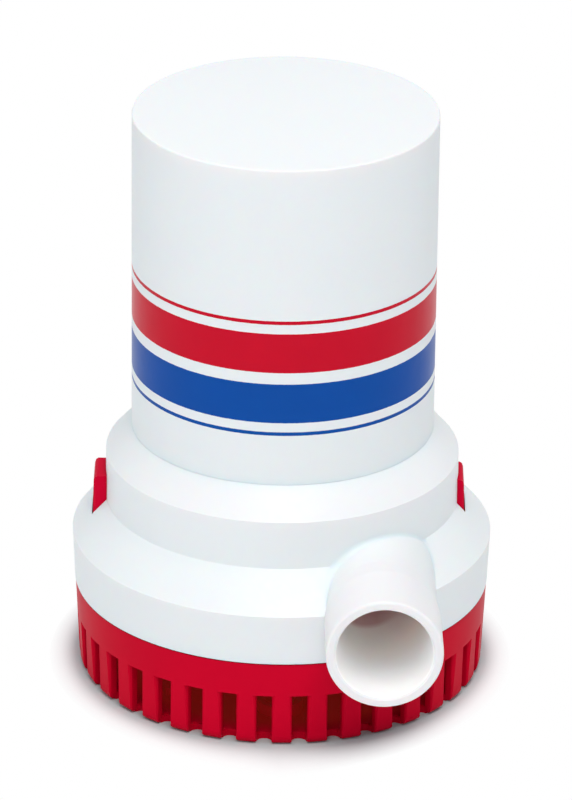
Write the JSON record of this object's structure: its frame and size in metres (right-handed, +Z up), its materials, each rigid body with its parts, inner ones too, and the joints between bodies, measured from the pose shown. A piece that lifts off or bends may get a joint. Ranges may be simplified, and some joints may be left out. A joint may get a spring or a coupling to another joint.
{
  "type": "bilge pump",
  "caption": "Submersible bilge pump: stepped white body with a side outlet tube, clipped to a slotted red strainer base.",
  "frame": {"origin": "middle of the strainer's flat underside", "axes": "+Z up along the motor shaft; the outlet tube points along -Y, turned 1.1 degrees towards +X; the two latches are on the X axis"},
  "size_m": [0.112, 0.1343, 0.1574],
  "materials": {
    "white_plastic": "satin moulded white",
    "red_plastic": "moulded red",
    "gland_plastic": "soft white grommet",
    "impeller_plastic": "moulded red",
    "black_plastic": "glass-filled black",
    "washer_nylon": "natural nylon",
    "stainless": "stainless steel",
    "case_steel": "zinc plated drawn steel",
    "spring_steel": "bright spring steel",
    "core_steel": "stacked laminations",
    "bearing_bronze": "sintered bronze",
    "holder_brass": "stamped brass",
    "copper": "enamelled and bare copper",
    "carbon": "pressed carbon",
    "ferrite": "sintered ferrite",
    "seal_rubber": "nitrile rubber"
  },
  "bodies": {
    "base": {"strainer_base": "red_plastic"},
    "latch_left": {"latch_left": "red_plastic"},
    "latch_right": {"latch_right": "red_plastic"},
    "pump_head": {"volute_housing": "white_plastic", "volute_cover": "white_plastic", "cover_screws": "stainless", "motor_can": "white_plastic", "can_seal": "seal_rubber", "cable_gland": "gland_plastic", "shaft_seal": "seal_rubber", "motor_case": "case_steel", "end_cap": "black_plastic", "lower_bearing": "bearing_bronze", "upper_bearing": "bearing_bronze", "magnets": "ferrite", "magnet_clips": "spring_steel", "brushes": "carbon", "brush_holders": "holder_brass", "brush_springs": "spring_steel", "motor_terminals": "holder_brass"},
    "rotor": {"impeller": "impeller_plastic", "motor_shaft": "stainless", "armature_core": "core_steel", "armature_windings": "copper", "commutator": "copper", "thrust_washers": "washer_nylon"}
  },
  "joints": [
    {"name": "pump_lift", "type": "slide", "parent": "base", "child": "pump_head", "axis": [0, 0, 1], "range_m": [0, 0.05]},
    {"name": "rotor_spin", "type": "hinge", "parent": "pump_head", "child": "rotor", "pos_m": [0, 0, 0.1], "axis": [0, 0, 1], "continuous": true},
    {"name": "latch_left_press", "type": "hinge", "parent": "base", "child": "latch_left", "pos_m": [-0.0486, 0, 0.015], "axis": [0, 1, 0], "range_deg": [0, 3], "stiffness_Nm_per_rad": 2},
    {"name": "latch_right_press", "type": "hinge", "parent": "base", "child": "latch_right", "pos_m": [0.0486, 0, 0.015], "axis": [0, -1, 0], "range_deg": [0, 3], "stiffness_Nm_per_rad": 2}
  ]
}
